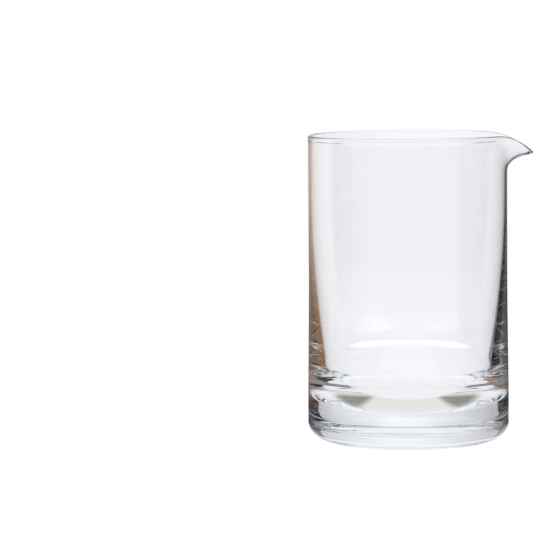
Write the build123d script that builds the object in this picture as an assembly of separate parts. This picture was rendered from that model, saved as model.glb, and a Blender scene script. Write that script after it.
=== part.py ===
from build123d import *
import math
import os
from bisect import bisect_left

# Mixing glass: a straight-sided tumbler of clear glass with a thick heavy base,
# a fire-polished rim and one pouring lip, all in one piece.
#
# Frame: +Z up, origin at the centre of the ring that it stands on,
# pouring lip towards +X. The shape is mirror-symmetric about the XZ plane.
# Millimetres and degrees.

# ------------------------------------------------------------------ base and wall
HEIGHT = 136.0          # rim above the table
BASE_RADIUS = 45.0      # outer radius of the heavy base
WALL_RADIUS = 44.35     # outer radius of the wall above the base
BASE_CORNER = 8.0       # height of the rounded corner under the base
CORNER_REACH = 9.5      # width of that corner, inwards from the side
TAPER_TOP = 78.0        # the base's extra width has faded out at this height
FOOT_INNER = 32.0       # inner and outer radius of the ring that touches the table
FOOT_OUTER = BASE_RADIUS - CORNER_REACH
PUNT_DEPTH = 0.9        # height of the shallow hollow under the base
PUNT_MID = (0.55, 0.66)  # its middle point, as shares of FOOT_INNER and PUNT_DEPTH
PUNT_SLOPE = -0.09      # its slope where it meets the ring

INNER_TOP = 43.1        # inner radius of the thin upper wall
THICK_START = 108.0     # below this height the wall gets thicker
THICK_STEP = 30.0
THICK_RATE = 0.88       # extra thickness one THICK_STEP further down
THICK_POWER = 2.05      # how the extra thickness grows with depth

# ---------------------------------------------------------------- floor and bowl
FLOOR_Z = 14.6          # top of the glass floor inside, on the axis
FLOOR_DISH = 0.5        # the floor rises this much from the axis to its edge
FLOOR_RADIUS = 23.0     # where the floor starts to curve up into the wall
FLOOR_MID = (0.5, 0.3)  # point on the floor, as shares of FLOOR_RADIUS and FLOOR_DISH
BOWL_TOP = 38.0         # height where that curve meets the wall
BOWL_POWER = 1.15       # 1 is an elliptical curve, more is a flatter one

# ------------------------------------------------------------------- lip and rim
RING_Z = 106.0          # height where the lip and rim zone starts
FLARE_Z = 119.0         # height where the wall starts to lean out into the lip
LIP_REACH = 56.7        # tip of the lip from the axis
LIP_DROP = 8.4          # tip of the lip below the rim
LIP_ANGLE = 12.0        # slope of the lip's channel at the tip, above level
LIP_SPREAD = 15.0       # angle from +X where the lip's reach has fallen to 37 %
LIP_END = 75.0          # the rim is plain from this angle on
LIP_THINNING = 0.22     # share of its thickness that the pulled lip loses at its tip
SPREAD_POWER = 1.8      # how the reach fades with angle
DROP_POWER = 1.45       # how the drop follows the reach
LEAN_POWER = 0.8        # how the slope at the edge follows the reach

# handles of the mid-wall arc: plain wall, and what the full lip adds
HANDLE_PLAIN = 0.36
HANDLE_LOW_GAIN = 0.24
HANDLE_HIGH_GAIN = 0.19
ARC_STEPS = 240         # steps used to measure the arc's length

BEAD_GAIN = 0.12        # extra half thickness of the fire-polished bead
BEAD_LENGTH = 2.8       # height of the bead
BEAD_CENTRE = 1.3       # thickest part of the bead, back from the edge
EDGE_ROUND = 0.7        # height of the rounding over the edge

# places along the section, as distances back from the rim's edge
FLARE_END = 3.0
FLARE_STEPS = 7
BEAD_PLACES = (2.5, 2.0, 1.5)
EDGE_TURNS = (90.0, 70.0, 50.0, 30.0, 14.0)   # angles round the rounded edge

RIM_MID = 0.5 * (WALL_RADIUS + INNER_TOP)
HALF_WALL = 0.5 * (WALL_RADIUS - INNER_TOP)

# angles of the lofted sections on one side of the lip, closer together near its tip
SIDE_ANGLES = [90, 78, 66, 55, 46, 40, 35, 31, 28, 25, 22, 19, 16.5, 14,
               11.5, 9, 7, 5, 3.3, 1.6]
PLAIN_ANGLE = 90.0      # a section here has no lip


# --------------------------------------------------------------------- wall radii
def wall_outer(z):
    """Outer radius: the base is a little wider than the wall above it."""
    x = min(1.0, max(0.0, (z - BASE_CORNER) / (TAPER_TOP - BASE_CORNER)))
    return WALL_RADIUS + (BASE_RADIUS - WALL_RADIUS) * (1.0 - x * x * (3.0 - 2.0 * x))


def wall_inner(z):
    """Inner radius: the wall thickens steadily downwards from the thin top."""
    extra = THICK_RATE * (max(0.0, THICK_START - z) / THICK_STEP) ** THICK_POWER
    return wall_outer(z) - (WALL_RADIUS - INNER_TOP) - extra


# ------------------------------------------------------------------ rim sections
def lip_share(angle):
    """Reach of the lip at an angle from +X, as a share of its full reach."""
    if abs(angle) >= LIP_END:
        return 0.0
    return math.exp(-((abs(angle) / LIP_SPREAD) ** SPREAD_POWER))


def arc_controls(share):
    """Control points (radius, z) of the mid-wall's cubic arc, from FLARE_Z to the rim."""
    reach = (LIP_REACH - WALL_RADIUS) * share
    end_r = RIM_MID + reach
    end_z = HEIGHT - LIP_DROP * share ** DROP_POWER
    lean = math.radians(90.0 - (90.0 - LIP_ANGLE) * share ** LEAN_POWER)
    rise = end_z - FLARE_Z
    low = (HANDLE_PLAIN + HANDLE_LOW_GAIN * share) * rise
    high = (HANDLE_PLAIN + HANDLE_HIGH_GAIN * share) * math.hypot(reach, rise)
    return [
        (RIM_MID, FLARE_Z),
        (RIM_MID, FLARE_Z + low),
        (end_r - high * math.cos(lean), end_z - high * math.sin(lean)),
        (end_r, end_z),
    ]


def arc_point(controls, t):
    """Radius, z and unit direction (radial, upward) of the cubic arc at t."""
    weights = ((1 - t) ** 3, 3 * t * (1 - t) ** 2, 3 * t * t * (1 - t), t ** 3)
    slopes = (3 * (1 - t) ** 2, 6 * t * (1 - t), 3 * t * t)
    r, z = (sum(w * p[axis] for w, p in zip(weights, controls)) for axis in (0, 1))
    dr, dz = (
        sum(w * (q[axis] - p[axis]) for w, p, q in zip(slopes, controls, controls[1:]))
        for axis in (0, 1)
    )
    size = math.hypot(dr, dz)
    return r, z, dr / size, dz / size


def rim_section(angle):
    """Wall section (radius, z): outer face up, over the bead, inner face down."""
    share = lip_share(angle)
    controls = arc_controls(share)

    # running arc length, so that the bead keeps its size all round
    points = [arc_point(controls, i / ARC_STEPS) for i in range(ARC_STEPS + 1)]
    lengths = [0.0]
    for a, b in zip(points, points[1:]):
        lengths.append(lengths[-1] + math.hypot(b[0] - a[0], b[1] - a[1]))
    total = lengths[-1]

    # distance back from the edge, and turn of the rounding (90 is full thickness)
    places = [
        (FLARE_END + (total - FLARE_END) * (1.0 - i / FLARE_STEPS), 90.0)
        for i in range(FLARE_STEPS + 1)
    ]
    places += [(distance, 90.0) for distance in BEAD_PLACES]
    places += [(EDGE_ROUND * (1.0 - math.cos(math.radians(t))), t) for t in EDGE_TURNS]

    # straight wall below the flare
    straight = (RING_Z, 0.5 * (RING_Z + FLARE_Z))
    outer = [(RIM_MID + HALF_WALL, z) for z in straight]
    inner = [(RIM_MID - HALF_WALL, z) for z in straight]
    for distance, turn in places:
        along = total - distance
        i = max(1, bisect_left(lengths, along))
        part = (along - lengths[i - 1]) / (lengths[i] - lengths[i - 1])
        r, z, dir_r, dir_z = arc_point(controls, (i - 1 + part) / ARC_STEPS)
        bump = BEAD_GAIN * math.exp(-(((distance - BEAD_CENTRE) / (0.5 * BEAD_LENGTH)) ** 2))
        thinning = 1.0 - LIP_THINNING * share * (1.0 - distance / total)
        half = (HALF_WALL + bump) * thinning * math.sin(math.radians(turn))
        outer.append((r + half * dir_z, z - half * dir_r))
        inner.append((r - half * dir_z, z + half * dir_r))
    return outer + [controls[-1]] + inner[::-1]


def section_parameters():
    """Spline parameters from the plain section, spaced by the root of each chord."""
    plain = rim_section(PLAIN_ANGLE)
    sums = [0.0]
    for a, b in zip(plain, plain[1:]):
        sums.append(sums[-1] + math.sqrt(math.hypot(b[0] - a[0], b[1] - a[1])))
    return [s / sums[-1] for s in sums]


# shared by every section, so that their knots match in the loft
PARAMETERS = section_parameters()


def section_wire(angle):
    """The closed wall section, standing in its own half plane through the axis."""
    c, s = math.cos(math.radians(angle)), math.sin(math.radians(angle))
    path = [(r * c, r * s, z) for r, z in rim_section(angle)]
    curve = Edge.make_spline(path, tangents=[(0, 0, 1), (0, 0, -1)], parameters=PARAMETERS)
    return Wire([curve, Edge.make_line(path[-1], path[0])])


# ------------------------------------------------------------------- turned body
def xz_spline(points, tangents):
    """Spline in the XZ plane through (radius, z) points."""
    return Edge.make_spline([(r, 0, z) for r, z in points], tangents=tangents)


def bowl_points():
    """Points (radius, z) from the wall down to the floor and in to the axis."""
    reach = wall_inner(BOWL_TOP) - FLOOR_RADIUS
    drop = BOWL_TOP - FLOOR_Z - FLOOR_DISH
    points = [(wall_inner(BOWL_TOP), BOWL_TOP)]
    for angle in (75.0, 60.0, 45.0, 30.0, 15.0):
        a = math.radians(angle)
        points.append((
            FLOOR_RADIUS + reach * math.sin(a) ** BOWL_POWER,
            BOWL_TOP - drop * math.cos(a) ** BOWL_POWER,
        ))
    return points + [
        (FLOOR_RADIUS, FLOOR_Z + FLOOR_DISH),
        (FLOOR_RADIUS * FLOOR_MID[0], FLOOR_Z + FLOOR_DISH * FLOOR_MID[1]),
        (0.0, FLOOR_Z),
    ]


def lower_profile():
    """Half section of the glass below RING_Z, in the XZ plane."""
    punt_mid = (FOOT_INNER * PUNT_MID[0], PUNT_DEPTH * PUNT_MID[1])
    punt = xz_spline(
        [(0.0, PUNT_DEPTH), punt_mid, (FOOT_INNER, 0.0)],
        [(1, 0, 0), (1, 0, PUNT_SLOPE)],
    )
    foot = Edge.make_line((FOOT_INNER, 0, 0), (FOOT_OUTER, 0, 0))
    corner = Edge.make_ellipse(
        CORNER_REACH,
        BASE_CORNER,
        Plane(origin=(FOOT_OUTER, 0, BASE_CORNER), x_dir=(1, 0, 0), z_dir=(0, -1, 0)),
        start_angle=270.0,
        end_angle=360.0,
    )
    up = [BASE_CORNER + (TAPER_TOP - BASE_CORNER) * i / 7.0 for i in range(8)]
    up += [0.5 * (TAPER_TOP + RING_Z), RING_Z]
    outside = xz_spline([(wall_outer(z), z) for z in up], [(0, 0, 1), (0, 0, 1)])
    top = Edge.make_line((WALL_RADIUS, 0, RING_Z), (INNER_TOP, 0, RING_Z))

    # the wall's thickening is left out at RING_Z, to meet the rim sections
    down = [RING_Z + (BOWL_TOP - RING_Z) * i / 10.0 for i in range(1, 11)]
    slope = (wall_inner(BOWL_TOP) - wall_inner(BOWL_TOP + 0.5), 0, -0.5)
    inside = xz_spline(
        [(INNER_TOP, RING_Z)] + [(wall_inner(z), z) for z in down],
        [(0, 0, -1), slope],
    )
    bowl = xz_spline(bowl_points(), [slope, (-1, 0, 0)])
    axis = Edge.make_line((0, 0, FLOOR_Z), (0, 0, PUNT_DEPTH))
    return Face(Wire([punt, foot, corner, outside, top, inside, bowl, axis]))


def mixing_glass():
    """Turned body, plain half of the rim on -X and lofted half with the lip on +X."""
    lower = Solid.revolve(lower_profile(), 360.0, Axis.Z)
    back = Solid.revolve(Face(section_wire(PLAIN_ANGLE)), 180.0, Axis.Z)
    angles = [-a for a in SIDE_ANGLES] + [0] + SIDE_ANGLES[::-1]
    front = Solid.make_loft([section_wire(a) for a in angles], ruled=False)
    return lower.fuse(back, front, tol=2e-3).solids()[0]


os.makedirs("parts", exist_ok=True)
export_step(mixing_glass(), "parts/glass_vessel.step")
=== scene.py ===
# A clear glass vessel with a thick base and a lip on one side of its rim.
# It stands on z = 0 with its axis on Z and its lip towards +X; the camera looks along +Y.
# The glass is dimensioned in millimetres, the studio round it in metres.
import math

import bpy
import numpy as np
from mathutils import Matrix, Vector


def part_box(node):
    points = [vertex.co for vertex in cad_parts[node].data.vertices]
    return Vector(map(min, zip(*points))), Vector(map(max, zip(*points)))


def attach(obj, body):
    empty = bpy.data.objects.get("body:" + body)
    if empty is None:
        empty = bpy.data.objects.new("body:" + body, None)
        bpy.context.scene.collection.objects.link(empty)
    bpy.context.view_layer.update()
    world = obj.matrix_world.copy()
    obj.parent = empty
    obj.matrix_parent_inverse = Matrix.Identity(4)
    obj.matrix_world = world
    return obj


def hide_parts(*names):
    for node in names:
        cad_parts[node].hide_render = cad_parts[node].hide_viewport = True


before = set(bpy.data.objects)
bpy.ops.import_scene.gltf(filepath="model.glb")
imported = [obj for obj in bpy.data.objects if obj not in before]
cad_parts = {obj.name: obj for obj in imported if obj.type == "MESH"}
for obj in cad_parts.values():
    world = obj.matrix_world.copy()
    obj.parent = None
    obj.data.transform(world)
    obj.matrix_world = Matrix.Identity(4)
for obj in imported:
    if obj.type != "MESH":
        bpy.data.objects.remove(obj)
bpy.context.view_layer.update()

scene = bpy.context.scene
MM = 0.001

# ------------------------------------------------------------------ dimensions of the glass, mm
vessel_lo, vessel_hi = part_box("glass_vessel")
HEIGHT = round((vessel_hi.z - vessel_lo.z) / MM, 1)

# wall: outer and inner radius at the top, and how it grows towards the base
WALL_RADIUS = 44.35
INNER_RADIUS = 43.1
WALL = WALL_RADIUS - INNER_RADIUS
HALF_WALL = 0.5 * WALL
RIM_MID = 0.5 * (WALL_RADIUS + INNER_RADIUS)
WIDEN_Z = 78.0          # the outside widens below this height
THICKEN_Z = 108.0       # the wall thickens below this height,
THICKEN_GAIN = 0.88     # by this much
THICKEN_SPAN = 30.0     # over this drop in height
THICKEN_POWER = 2.05

# base: rounded outer corner, and the hollow underneath
BASE_RADIUS = 45.0
CORNER_RISE = 8.0
CORNER_REACH = 9.5
FLAT_RADIUS = BASE_RADIUS - CORNER_REACH
FOOT_INNER = 32.0
PUNT_DEPTH = 0.9
PUNT_MID = (0.55, 0.66)  # middle point, as shares of radius and depth
PUNT_END_SLOPE = -0.09

# inside: a dished floor and the bowl that joins it to the wall
FLOOR_Z = 14.6
FLOOR_DISH = 0.5
FLOOR_RADIUS = 23.0
FLOOR_MID = (0.5, 0.3)   # middle point, as shares of radius and dish
BOWL_TOP = 38.0
BOWL_POWER = 1.15
BOWL_ANGLES = (75.0, 60.0, 45.0, 30.0, 15.0)
SLOPE_STEP = 0.5         # height over which the wall's slope is measured

# lip: largest reach and drop of the rim, its angle to level, and its spread in degrees
FLARE_Z = 119.0
LIP_REACH = 56.7
LIP_DROP = 8.4
LIP_ANGLE = 12.0
LIP_SPREAD = 15.0
LIP_LIMIT = 75.0
LIP_THINNING = 0.22
# powers that shape the spread, the drop and the lean of the lip
SPREAD_POWER, DROP_POWER, LEAN_POWER = 1.8, 1.45, 0.8
# lengths of the flare's curve handles: share for the plain rim, and gain at the lip
LOW_HANDLE = (0.36, 0.24)
HIGH_HANDLE = (0.36, 0.19)

# edge of the rim: a slight bead and a rounded end; distances run back from the edge
BEAD_GAIN = 0.12
BEAD_LENGTH = 2.8
BEAD_CENTRE = 1.3
BEAD_START = 3.4
EDGE_ROUND = 0.7

# divisions
TURN_STEPS = 432
PUNT_STEPS, FLAT_STEPS, CORNER_STEPS = 22, 5, 24
WALL_STEPS, BOWL_STEPS = 34, 60
CURVE_POINTS = 241
FLARE_STEPS, BEAD_STEPS, CAP_STEPS = 20, 8, 9

BUMP_METRES = 0.00001


def add_object(name, data):
    obj = bpy.data.objects.new(name, data)
    scene.collection.objects.link(obj)
    return obj


# ------------------------------------------------------------------ outline of the glass
def spline(points, start_dir, end_dir, steps):
    """Cubic spline through points (radius, z), clamped to directions at both ends."""
    points = np.array(points, float)
    chords = np.linalg.norm(np.diff(points, axis=0), axis=1)
    knots = np.r_[0, np.cumsum(chords)]
    count = len(points)
    system = np.zeros((count, count))
    target = np.zeros((count, 2))
    system[0, 0] = system[-1, -1] = 1.0
    target[0] = np.array(start_dir, float) / np.linalg.norm(start_dir)
    target[-1] = np.array(end_dir, float) / np.linalg.norm(end_dir)
    for i in range(1, count - 1):
        before, after = chords[i - 1], chords[i]
        system[i, i - 1:i + 2] = after, 2 * (before + after), before
        target[i] = 3 * (after * (points[i] - points[i - 1]) / before
                         + before * (points[i + 1] - points[i]) / after)
    tangents = np.linalg.solve(system, target)
    places = np.linspace(0, knots[-1], steps + 1)
    spans = np.clip(np.searchsorted(knots, places, "right") - 1, 0, count - 2)
    curve = []
    for place, i in zip(places, spans):
        w = (place - knots[i]) / chords[i]
        curve.append(tuple(
            (2 * w**3 - 3 * w**2 + 1) * points[i]
            + (w**3 - 2 * w**2 + w) * chords[i] * tangents[i]
            + (-2 * w**3 + 3 * w**2) * points[i + 1]
            + (w**3 - w**2) * chords[i] * tangents[i + 1]
        ))
    return curve


def wall_outer(z):
    """Outer radius: the base is a little wider than the wall above it."""
    x = min(1.0, max(0.0, (z - CORNER_RISE) / (WIDEN_Z - CORNER_RISE)))
    return WALL_RADIUS + (BASE_RADIUS - WALL_RADIUS) * (1.0 - x * x * (3 - 2 * x))


def wall_inner(z):
    """Inner radius: the wall thickens steadily downwards from the thin top."""
    depth = max(0.0, THICKEN_Z - z) / THICKEN_SPAN
    return wall_outer(z) - WALL - THICKEN_GAIN * depth**THICKEN_POWER


def outside_outline():
    """Points (radius, z) from the axis under the base up to just below the flare."""
    points = spline(
        [(0.0, PUNT_DEPTH), (FOOT_INNER * PUNT_MID[0], PUNT_DEPTH * PUNT_MID[1]), (FOOT_INNER, 0.0)],
        (1, 0), (1, PUNT_END_SLOPE), PUNT_STEPS,
    )
    for i in range(1, FLAT_STEPS):
        points.append((FOOT_INNER + (FLAT_RADIUS - FOOT_INNER) * i / FLAT_STEPS, 0.0))
    for i in range(CORNER_STEPS + 1):
        angle = math.radians(90.0 * i / CORNER_STEPS)
        points.append((FLAT_RADIUS + CORNER_REACH * math.sin(angle),
                       CORNER_RISE * (1 - math.cos(angle))))
    for i in range(1, WALL_STEPS):
        z = CORNER_RISE + (FLARE_Z - CORNER_RISE) * i / WALL_STEPS
        points.append((wall_outer(z), z))
    return points


def inside_outline():
    """Points (radius, z) from just below the flare down to the axis on the floor."""
    points = []
    for i in range(1, WALL_STEPS):
        z = FLARE_Z + (BOWL_TOP - FLARE_Z) * i / WALL_STEPS
        points.append((wall_inner(z), z))
    top_radius = wall_inner(BOWL_TOP)
    slope = (top_radius - wall_inner(BOWL_TOP + SLOPE_STEP), -SLOPE_STEP)
    reach = top_radius - FLOOR_RADIUS
    rise = BOWL_TOP - FLOOR_Z - FLOOR_DISH
    bowl = [(top_radius, BOWL_TOP)]
    for angle in map(math.radians, BOWL_ANGLES):
        bowl.append((FLOOR_RADIUS + reach * math.sin(angle) ** BOWL_POWER,
                     BOWL_TOP - rise * math.cos(angle) ** BOWL_POWER))
    bowl += [
        (FLOOR_RADIUS, FLOOR_Z + FLOOR_DISH),
        (FLOOR_RADIUS * FLOOR_MID[0], FLOOR_Z + FLOOR_DISH * FLOOR_MID[1]),
        (0.0, FLOOR_Z),
    ]
    return points + spline(bowl, slope, (-1, 0), BOWL_STEPS)


def lip_share(bearing):
    """1 at the middle of the lip, fading to 0 along the plain rim."""
    off = abs((bearing + 180.0) % 360.0 - 180.0)
    return math.exp(-((off / LIP_SPREAD) ** SPREAD_POWER)) if off < LIP_LIMIT else 0.0


def rim_section(bearing):
    """Points (radius, z) up the outside of the flare, over the edge and down inside."""
    share = lip_share(bearing)
    reach = (LIP_REACH - WALL_RADIUS) * share
    lean = math.radians(90.0 - (90.0 - LIP_ANGLE) * share**LEAN_POWER)
    end_r, end_z = RIM_MID + reach, HEIGHT - LIP_DROP * share**DROP_POWER
    rise = end_z - FLARE_Z
    low = (LOW_HANDLE[0] + LOW_HANDLE[1] * share) * rise
    high = (HIGH_HANDLE[0] + HIGH_HANDLE[1] * share) * math.hypot(reach, rise)

    # Bezier curve up the middle of the wall
    c = np.array([
        (RIM_MID, FLARE_Z),
        (RIM_MID, FLARE_Z + low),
        (end_r - high * math.cos(lean), end_z - high * math.sin(lean)),
        (end_r, end_z),
    ])
    t = np.linspace(0, 1, CURVE_POINTS)[:, None]
    u = 1 - t
    middle = u**3 * c[0] + 3 * t * u**2 * c[1] + 3 * t * t * u * c[2] + t**3 * c[3]
    along = 3 * u**2 * (c[1] - c[0]) + 6 * t * u * (c[2] - c[1]) + 3 * t * t * (c[3] - c[2])
    along /= np.linalg.norm(along, axis=1)[:, None]
    run = np.r_[0, np.cumsum(np.linalg.norm(np.diff(middle, axis=0), axis=1))]
    total = run[-1]

    # stations: distance back from the edge, and angle round its rounded end
    stations = []
    for start, end, steps in ((total, BEAD_START, FLARE_STEPS), (BEAD_START, EDGE_ROUND, BEAD_STEPS)):
        stations += [(end + (start - end) * (1.0 - i / steps), 90.0) for i in range(steps)]
    for i in range(CAP_STEPS):
        turn = 90.0 * (1.0 - i / CAP_STEPS)
        stations.append((EDGE_ROUND * (1.0 - math.cos(math.radians(turn))), turn))

    outer, inner = [], []
    for back, turn in stations:
        r, z, along_r, along_z = (
            np.interp(total - back, run, column) for column in (*middle.T, *along.T)
        )
        size = math.hypot(along_r, along_z)
        bead = BEAD_GAIN * math.exp(-(((back - BEAD_CENTRE) / (0.5 * BEAD_LENGTH)) ** 2))
        thin = 1.0 - LIP_THINNING * share * (1.0 - back / total)
        half = (HALF_WALL + bead) * thin * math.sin(math.radians(turn))
        step_r, step_z = half * along_z / size, half * along_r / size
        outer.append((r + step_r, z - step_z))
        inner.append((r - step_r, z + step_z))
    return outer + [(end_r, end_z)] + inner[::-1]


def build_glass(name):
    """Sweep the outline round Z; both its ends close on single vertices on the axis."""
    up, down = outside_outline(), inside_outline()
    verts, faces = [], []
    for j in range(TURN_STEPS):
        outline = up[1:] + rim_section(360.0 * j / TURN_STEPS) + down[:-1]
        angle = 2 * math.pi * j / TURN_STEPS
        cos, sin = math.cos(angle), math.sin(angle)
        verts += [(r * cos * MM, r * sin * MM, z * MM) for r, z in outline]
    rows = len(outline)
    bottom = len(verts)
    floor_centre = bottom + 1
    verts += [(0.0, 0.0, up[0][1] * MM), (0.0, 0.0, down[-1][1] * MM)]
    for j in range(TURN_STEPS):
        this, after = j * rows, (j + 1) % TURN_STEPS * rows
        faces.append((bottom, after, this))
        for i in range(rows - 1):
            faces.append((this + i, after + i, after + i + 1, this + i + 1))
        faces.append((floor_centre, this + rows - 1, after + rows - 1))
    mesh = bpy.data.meshes.new(name)
    mesh.from_pydata(verts, [], faces)
    mesh.validate()
    mesh.polygons.foreach_set("use_smooth", [True] * len(mesh.polygons))
    mesh.update()
    return add_object(name, mesh)


# ------------------------------------------------------------------ shader helpers
DEGREES = 57.29578      # degrees in a radian


class Graph:
    """Short cuts for building a shader node network."""

    def __init__(self, tree):
        self.tree = tree
        tree.nodes.clear()

    def new(self, kind, inputs=None, **settings):
        """A node with its settings; inputs maps socket names or indices to values."""
        node = self.tree.nodes.new(kind)
        for key, value in settings.items():
            setattr(node, key, value)
        for key, value in (inputs or {}).items():
            socket = node.inputs[key]
            if isinstance(value, bpy.types.NodeSocket):
                self.tree.links.new(value, socket)
            else:
                socket.default_value = (*value, 1.0) if socket.type == "RGBA" else value
        return node

    def math(self, operation, first, second=0.0):
        return self.new("ShaderNodeMath", {0: first, 1: second}, operation=operation).outputs[0]

    def times(self, first, *others):
        for other in others:
            first = self.math("MULTIPLY", first, other)
        return first

    def lowered(self, start, by, share):
        """start - share * by"""
        return self.math("SUBTRACT", start, self.times(share, by))

    def more_than(self, depth, count):
        return self.math("GREATER_THAN", depth, count + 0.5)

    def at_most(self, depth, count):
        return self.math("LESS_THAN", depth, count + 0.5)

    def exactly(self, depth, count):
        inputs = {0: depth, 1: count, 2: 0.25}
        return self.new("ShaderNodeMath", inputs, operation="COMPARE").outputs[0]

    def ramp(self, value, over, to=(0.0, 1.0), kind="SMOOTHSTEP"):
        inputs = {"Value": value, "From Min": over[0], "From Max": over[1],
                  "To Min": to[0], "To Max": to[1]}
        return self.new("ShaderNodeMapRange", inputs, interpolation_type=kind).outputs["Result"]

    def fall(self, value, over):
        return self.ramp(value, over, to=(1.0, 0.0))

    def mix(self, factor, first, second, blend="MIX"):
        inputs = {0: factor, 6: first, 7: second}
        return self.new("ShaderNodeMix", inputs, data_type="RGBA", blend_type=blend).outputs[2]

    def separate(self, vector):
        return self.new("ShaderNodeSeparateXYZ", {0: vector}).outputs


def new_material(name):
    mat = bpy.data.materials.new(name)
    mat.use_nodes = True
    return mat, Graph(mat.node_tree)


# ------------------------------------------------------------------ the glass
def glass_material():
    """Clear glass whose surface carries faint rings from the mould and the fire
    polish, strongest near the base, and a little unevenness round the wall."""
    mat, g = new_material("fire_polished_clear_glass")
    here = g.new("ShaderNodeTexCoord").outputs["Object"]
    z = g.separate(here)[2]

    def noise(across, upward, detail):
        """Noise with its own scales, per metre, across and up the glass."""
        fit = g.new("ShaderNodeMapping", {"Vector": here, "Scale": (across, across, upward)})
        inputs = {"Vector": fit.outputs["Vector"], "Scale": 1.0, "Detail": detail}
        return g.new("ShaderNodeTexNoise", inputs).outputs["Fac"]

    low_down = g.ramp(z, over=(0.030, 0.085), to=(1.0, 0.12))
    rings = g.times(noise(across=14.0, upward=520.0, detail=2.0), low_down)
    wave_height = 1.6
    waves = g.times(noise(across=55.0, upward=26.0, detail=1.0), wave_height)
    bump = g.new("ShaderNodeBump", {
        "Strength": 1.0,
        "Distance": BUMP_METRES,
        "Height": g.math("ADD", rings, waves),
    })
    surface = g.new("ShaderNodeBsdfPrincipled", {
        "Base Color": (1, 1, 1),
        "Transmission Weight": 1.0,
        "IOR": 1.52,
        "Normal": bump.outputs["Normal"],
        # slightly softer where the mould has marked the foot
        "Roughness": g.ramp(z, over=(0.0005, 0.006), to=(0.05, 0.018)),
    })
    # the glass itself takes a little red out of light that crosses the thick base
    body = g.new("ShaderNodeVolumeAbsorption", {"Color": (0.2, 0.38, 0.5), "Density": 1.0})
    g.new("ShaderNodeOutputMaterial", {"Surface": surface.outputs[0], "Volume": body.outputs[0]})
    return mat


glass = build_glass("clear_glass_vessel")
glass.data.materials.append(glass_material())
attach(glass, "root")
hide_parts("glass_vessel")

# ------------------------------------------------------------------ camera
CAMERA_PLACE = Vector((-0.0632, -1.2267, 0.1958))
TILT, ROLL = 0.0961, 0.0087     # radians; the tilt is downwards

lens = bpy.data.cameras.new("camera")
lens.sensor_width = 36.0
lens.lens = 186.3
lens.clip_start, lens.clip_end = 0.05, 200.0
camera = add_object("camera", lens)
# +Z of the camera points back at the viewer; start level, looking along +Y
level = Matrix(((1, 0, 0), (0, 0, -1), (0, 1, 0)))
camera.matrix_world = (
    Matrix.Translation(CAMERA_PLACE)
    @ (level @ Matrix.Rotation(-TILT, 3, "X") @ Matrix.Rotation(-ROLL, 3, "Z")).to_4x4()
)
scene.camera = camera

# ------------------------------------------------------------------ studio rig
# Everything of the studio hangs on a rig that turns its -Y to the camera's heading,
# so that the light falls the same way from every side. In the holder's frame +Y is
# behind the glass and +X is to the right.
rig = add_object("studio_rig", None)
track = rig.constraints.new("LOCKED_TRACK")
track.target = camera
track.track_axis = "TRACK_NEGATIVE_Y"
track.lock_axis = "LOCK_Z"
holder = add_object("studio_holder", None)
holder.parent = rig
holder.rotation_euler = (0, 0, -math.atan2(-CAMERA_PLACE.x, -CAMERA_PLACE.y))

# ------------------------------------------------------------------ studio light
# Angles are in degrees, lengths in metres. "path" is the outputs of a light path
# node, whose depths count the crossings and reflections a ray has met.
BLACK = (0.0, 0.0, 0.0)
FULL_WHITE = (1, 1, 1)
DARK = (0.085, 0.092, 0.11)
WHITE = (0.965, 0.975, 1.02)
FRONT = (0.33, 0.34, 0.37)
GLOOM = (0.07, 0.065, 0.07)
HAZE = (0.155, 0.138, 0.132)
SHADOW = (0.03, 0.028, 0.032)
# floor: right under the glass, with painted shade on its part towards the viewer, and painted shade
# between the cards to the left and right
UNDER = (0.93, 0.94, 0.97)
UNDER_SHADE_MIDDLE = (0.82, 0.81, 0.765)
UNDER_SHADE_SIDES = (0.27, 0.26, 0.22)
FLOOR_SHADE_LEFT = (0.055, 0.034, 0.022)
FLOOR_SHADE_RIGHT = (0.015, 0.015, 0.017)

BACK_EDGE = (60.0, 74.0)        # azimuths where the lit back ends
SOFTBOX_STRENGTH = 4.2
STRIP_STRENGTH = 0.4            # of the light above, as a share of the softbox
TRAPPED_SHARE = 0.85


def directions(g):
    """Azimuth from straight behind, elevation, and object position."""
    here = g.new("ShaderNodeTexCoord").outputs["Object"]
    x, y, z = g.separate(g.new("ShaderNodeVectorMath", {0: here}, operation="NORMALIZE").outputs[0])
    azimuth = g.times(g.math("ARCTAN2", x, y), DEGREES)
    return azimuth, g.times(g.math("ARCSINE", z), DEGREES), here


def leaving(g, geometry, path):
    """Height where a ray left the glass, and the upward part of the way back there."""
    z = g.separate(geometry["Position"])[2]
    way_up = g.separate(geometry["Incoming"])[2]
    return g.math("ADD", z, g.times(way_up, path["Ray Length"])), way_up


def left_wall(g, path):
    """1 for light that left the glass from its wall, 0 from its base; and its way up."""
    height, way_up = leaving(g, g.new("ShaderNodeNewGeometry").outputs, path)
    return g.ramp(height, over=(0.026, 0.033)), way_up


def weak(g, path):
    """How much painted shade (GLOOM) falls on light that has run round inside the wall."""
    return g.ramp(path["Glossy Depth"], over=(0.9, 3.2), to=(0.0, 0.92))


def straight(g, path):
    """1 for light that has only crossed solid glass, without a reflection."""
    return g.times(g.at_most(path["Transmission Depth"], 2), g.at_most(path["Glossy Depth"], 0))


def trapped(g, path, elevation):
    """Light that ran round inside the wall many times and left at a low angle
    gets one painted dim tone, standing in for the blur that the uneven wall of real glass gives."""
    many = g.more_than(path["Glossy Depth"], 7)
    return g.times(many, g.fall(elevation, over=(15.5, 17.5)), TRAPPED_SHARE)


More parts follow.
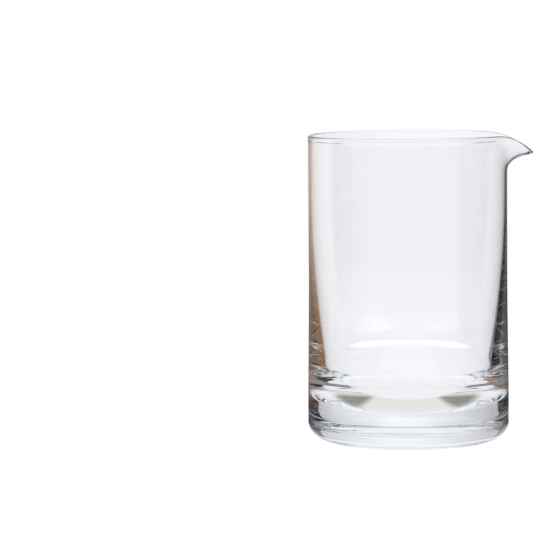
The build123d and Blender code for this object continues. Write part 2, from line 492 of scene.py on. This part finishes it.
def softbox(g, path):
    """A wide soft light on the viewer's side with a weaker strip above it. It is
    only picked up by light that the inner wall reflects once."""
    geometry = g.new("ShaderNodeNewGeometry").outputs
    incoming = g.new("ShaderNodeVectorTransform", {0: geometry["Incoming"]},
                     vector_type="VECTOR", convert_from="WORLD", convert_to="OBJECT")
    x, y, z = g.separate(incoming.outputs[0])
    azimuth = g.times(g.math("ARCTAN2", g.times(x, -1.0), g.times(y, -1.0)), DEGREES)
    elevation = g.times(g.math("ARCSINE", z), -DEGREES)
    # turn is 0 towards the viewer and 1 at 100 degrees from there
    turn = g.math("DIVIDE", g.math("SUBTRACT", 180.0, g.math("ABSOLUTE", azimuth)), 100.0)
    bent = g.math("POWER", turn, 1.9)
    # both edges of the box and the middle of the strip sink as they run round
    above = g.math("SUBTRACT", elevation, g.lowered(start=1.9, by=6.2, share=turn))
    below = g.math("SUBTRACT", g.lowered(start=20.5, by=21.5, share=bent), elevation)
    box = g.times(g.ramp(above, over=(-0.9, 1.2)), g.ramp(below, over=(-1.6, 1.6)))
    off = g.math("SUBTRACT", elevation, g.lowered(start=31.0, by=22.5, share=bent))
    strip = g.times(g.ramp(off, over=(-2.2, -0.2)), g.fall(off, over=(0.2, 2.2)), STRIP_STRENGTH)
    # only light that leaves the lower half of the wall meets it
    height, _ = leaving(g, geometry, path)
    seen = g.times(
        g.exactly(path["Glossy Depth"], 1),
        g.exactly(path["Transmission Depth"], 4),
        g.fall(turn, over=(1.02, 1.22)),
        g.fall(height, over=(0.046, 0.060)),
    )
    return g.times(g.math("ADD", box, strip), seen, SOFTBOX_STRENGTH)


def add_softbox(g, path, colour):
    light = softbox(g, path)
    grey = g.new("ShaderNodeCombineColor", {0: light, 1: light, 2: light})
    return g.mix(1.0, colour, grey.outputs[0], blend="ADD")


def shade(g, path, away):
    """What lies beside and behind the viewer: dark for light that has run round
    inside the wall, a dim room for plain reflections."""
    plain = g.times(g.ramp(away, over=(108.0, 128.0)), g.at_most(path["Glossy Depth"], 1))
    return g.mix(plain, DARK, FRONT)


def darken_sideways(g, colour, direct, angle):
    """Dim light that came straight through, more so further from the middle."""
    dimming = g.ramp(angle, over=(4.0, 50.0), to=(0.0, 0.45), kind="LINEAR")
    return g.mix(g.times(direct, dimming), colour, BLACK)


def dome_colour(g):
    azimuth, elevation, _ = directions(g)
    away = g.math("ABSOLUTE", azimuth)
    back = g.fall(away, over=BACK_EDGE)
    path = g.new("ShaderNodeLightPath").outputs
    wall, _ = left_wall(g, path)
    turned = g.times(g.more_than(path["Glossy Depth"], 1), wall)
    # light reflected in the wall meets a top light that begins higher,
    # and higher still behind the viewer
    lift = g.times(g.ramp(away, over=(138.0, 152.0)), 10.0)
    high = g.math("SUBTRACT", elevation, lift)
    top = g.mix(turned, g.ramp(elevation, over=(4.0, 11.0)), g.ramp(high, over=(14.0, 20.0)))
    lit = g.mix(g.math("MAXIMUM", back, top), shade(g, path, away), WHITE)
    # painted shade: light that has run round inside the wall and left it below the top light sees
    # GLOOM
    lit = g.mix(g.times(weak(g, path), wall, g.math("SUBTRACT", 1.0, top)), lit, GLOOM)
    lit = darken_sideways(g, lit, straight(g, path), away)
    lit = add_softbox(g, path, lit)
    # painted dim tone (HAZE) for light trapped in the wall
    lit = g.mix(trapped(g, path, elevation), lit, HAZE)
    return g.mix(path["Is Camera Ray"], lit, FULL_WHITE)


def floor_colour(g):
    azimuth, elevation, here = directions(g)
    x, y, _ = g.separate(here)
    path = g.new("ShaderNodeLightPath").outputs
    far = g.math("SQRT", g.math("ADD", g.times(x, x), g.times(y, y)))
    side = g.times(g.ramp(g.math("ABSOLUTE", azimuth), over=BACK_EDGE),
                   g.ramp(far, over=(0.16, 0.24)))
    lit = g.mix(side, WHITE, shade(g, path, g.math("ABSOLUTE", azimuth)))
    # soft shadow where the cards stand on the floor, a little wider on the right
    reach = g.lowered(start=0.060, by=-0.004, share=g.math("GREATER_THAN", x, 0.0))
    shadow = g.times(
        g.ramp(g.math("ABSOLUTE", x), over=(0.042, reach)),
        g.fall(y, over=(0.042, 0.078)),
        g.fall(far, over=(0.12, 0.16)),
        g.at_most(path["Transmission Depth"], 2),
    )
    lit = g.mix(shadow, lit, SHADOW)
    # light that has crossed solid glass only: the floor between the cards carries painted shade,
    # apart from the wedge straight behind the glass; the shade is brownish on the left and near black
    # on the right
    right = g.math("GREATER_THAN", x, 0.0)
    wedge_x = g.math("ADD", g.math("ABSOLUTE", x), 0.0076)
    wedge_y = g.math("SUBTRACT", y, 0.0444)
    wedge = g.times(g.math("ARCTAN2", wedge_x, wedge_y), DEGREES)
    edge = g.math("SUBTRACT", wedge, g.lowered(start=56.0, by=6.3, share=right))
    direct = straight(g, path)
    shaded_floor = g.times(g.ramp(edge, over=(-1.5, 1.5)), direct)
    lit = g.mix(shaded_floor, lit, g.mix(right, FLOOR_SHADE_LEFT, FLOOR_SHADE_RIGHT))
    lit = darken_sideways(g, lit, direct, wedge)
    # the patch right under the glass; on its part towards the viewer, for light reflected once, it
    # carries painted shade, cream in the middle and darker at the sides
    under = g.fall(far, over=(0.040, 0.047))
    front = g.times(
        g.exactly(path["Glossy Depth"], 1),
        g.at_most(path["Transmission Depth"], 2),
        g.fall(y, over=(-0.014, 0.004)),
    )
    off_middle = g.ramp(g.math("ABSOLUTE", x), over=(0.0195, 0.0265))
    patch = g.mix(off_middle, UNDER_SHADE_MIDDLE, UNDER_SHADE_SIDES)
    lit = g.mix(under, lit, g.mix(front, UNDER, patch))
    # painted shade (GLOOM) on the floor for light that has run round inside the wall, where it left
    # the wall or lands under the glass
    wall, _ = left_wall(g, path)
    lit = g.mix(g.times(weak(g, path), g.math("MAXIMUM", wall, under)), lit, GLOOM)
    lit = add_softbox(g, path, lit)
    # painted dim tone (HAZE) on the floor further out, for light trapped in the wall
    painted_haze = g.times(trapped(g, path, elevation), g.ramp(far, over=(0.08, 0.12)))
    lit = g.mix(painted_haze, lit, HAZE)
    return g.mix(path["Is Camera Ray"], lit, FULL_WHITE)


def emitter(name, build):
    """An emission material; build(graph) returns the colour socket."""
    mat, g = new_material(name)
    glow = g.new("ShaderNodeEmission", {"Color": build(g)})
    g.new("ShaderNodeOutputMaterial", {"Surface": glow.outputs[0]})
    return mat


# ------------------------------------------------------------------ dome and floor
STAGE_RADIUS = 6.0
LEVELS, AROUND = 24, 96


def stage_object(name, verts, faces, mat):
    mesh = bpy.data.meshes.new(name)
    mesh.from_pydata(verts, [], faces)
    mesh.materials.append(mat)
    obj = add_object(name, mesh)
    obj.parent = holder
    return obj


def ring(radius, z):
    angles = [2 * math.pi * i / AROUND for i in range(AROUND)]
    return [(radius * math.cos(angle), radius * math.sin(angle), z) for angle in angles]


def build_dome():
    verts, faces = [], []
    for i in range(LEVELS):
        angle = math.radians(90.0 * i / LEVELS)
        verts += ring(STAGE_RADIUS * math.cos(angle), STAGE_RADIUS * math.sin(angle))
    verts.append((0, 0, STAGE_RADIUS))
    for i in range(LEVELS - 1):
        low, high = i * AROUND, (i + 1) * AROUND
        for j in range(AROUND):
            k = (j + 1) % AROUND
            faces.append((low + j, low + k, high + k, high + j))
    last = (LEVELS - 1) * AROUND
    for j in range(AROUND):
        faces.append((last + j, last + (j + 1) % AROUND, LEVELS * AROUND))
    stage_object("stage_dome", verts, faces, emitter("studio_walls", dome_colour))


build_dome()
stage_object("stage_floor", ring(STAGE_RADIUS, 0.0), [tuple(range(AROUND))],
             emitter("pale_floor", floor_colour))


# ------------------------------------------------------------------ cards
CARD_BOTTOM = 0.0005


def card_material(name, colour, lighter, lighten_over, deepest):
    mat, g = new_material(name)
    z = g.separate(g.new("ShaderNodeNewGeometry").outputs["Position"])[2]
    # painted light: the card is no lamp, yet it glows with its lit colour, which grows lighter
    # towards the top
    body = g.mix(g.ramp(z, over=lighten_over, kind="LINEAR"), colour, lighter)
    # the foot of the card stands in its own shadow
    foot = g.fall(z, over=(0.007, 0.014))
    glow = g.new("ShaderNodeEmission", {"Color": g.mix(foot, body, SHADOW)})
    clear = g.new("ShaderNodeBsdfTransparent")

    path = g.new("ShaderNodeLightPath").outputs
    crossings, reflections = path["Transmission Depth"], path["Glossy Depth"]
    deep = g.more_than(crossings, deepest)
    # after reflections: steep light, light from the base, and the top of the card
    wall, way_up = left_wall(g, path)
    free = g.math("MAXIMUM", g.math("LESS_THAN", way_up, -0.5), g.math("SUBTRACT", 1.0, wall))
    free = g.math("MAXIMUM", free, g.math("GREATER_THAN", z, 0.082))
    # seen through the bore, the card ends sooner
    y = g.separate(g.new("ShaderNodeTexCoord").outputs["Object"])[1]
    beyond = g.times(g.more_than(crossings, 3), g.ramp(y, over=(0.046, 0.070)))
    steep = g.times(g.more_than(reflections, 1), free)
    turned = g.times(g.more_than(crossings, 3), g.more_than(reflections, 0))
    turned = g.math("MAXIMUM", turned, beyond)
    passing = g.math("MAXIMUM", g.math("MAXIMUM", deep, turned), steep)
    pick = g.new("ShaderNodeMixShader", {0: passing, 1: glow.outputs[0], 2: clear.outputs[0]})
    g.new("ShaderNodeOutputMaterial", {"Surface": pick.outputs[0]})
    return mat


def card(name, x, y_span, top, **look):
    """An upright card beside the glass, hidden from the camera; light that has crossed
    the glass surface more than `deepest` times passes through it."""
    y0, y1 = y_span
    corners = [(x, y0, CARD_BOTTOM), (x, y1, CARD_BOTTOM), (x, y1, top), (x, y0, top)]
    obj = stage_object(name, corners, [(0, 1, 2, 3)], card_material(name + "_mat", **look))
    obj.visible_camera = False
    obj.visible_diffuse = False
    obj.visible_shadow = False


card("stage_card_left", x=-0.0634, y_span=(-0.031, 0.090), top=0.163,
     colour=(0.28, 0.150, 0.070), lighter=(0.62, 0.50, 0.43),
     lighten_over=(0.035, 0.125), deepest=2)
card("stage_card_right", x=0.064, y_span=(-0.05, 0.110), top=0.25,
     colour=(0.010, 0.010, 0.012), lighter=(0.17, 0.15, 0.155),
     lighten_over=(0.070, 0.125), deepest=99)

# ------------------------------------------------------------------ world and render
world = bpy.data.worlds.new("studio")
scene.world = world
world.use_nodes = True
sky = Graph(world.node_tree)
background = sky.new("ShaderNodeBackground", {"Color": FULL_WHITE})
sky.new("ShaderNodeOutputWorld", {"Surface": background.outputs[0]})

BOUNCES = 160           # enough for light that runs round inside the wall
scene.view_settings.view_transform = "Standard"
scene.view_settings.look = "None"
scene.cycles.max_bounces = BOUNCES
scene.cycles.transmission_bounces = BOUNCES
scene.cycles.glossy_bounces = BOUNCES
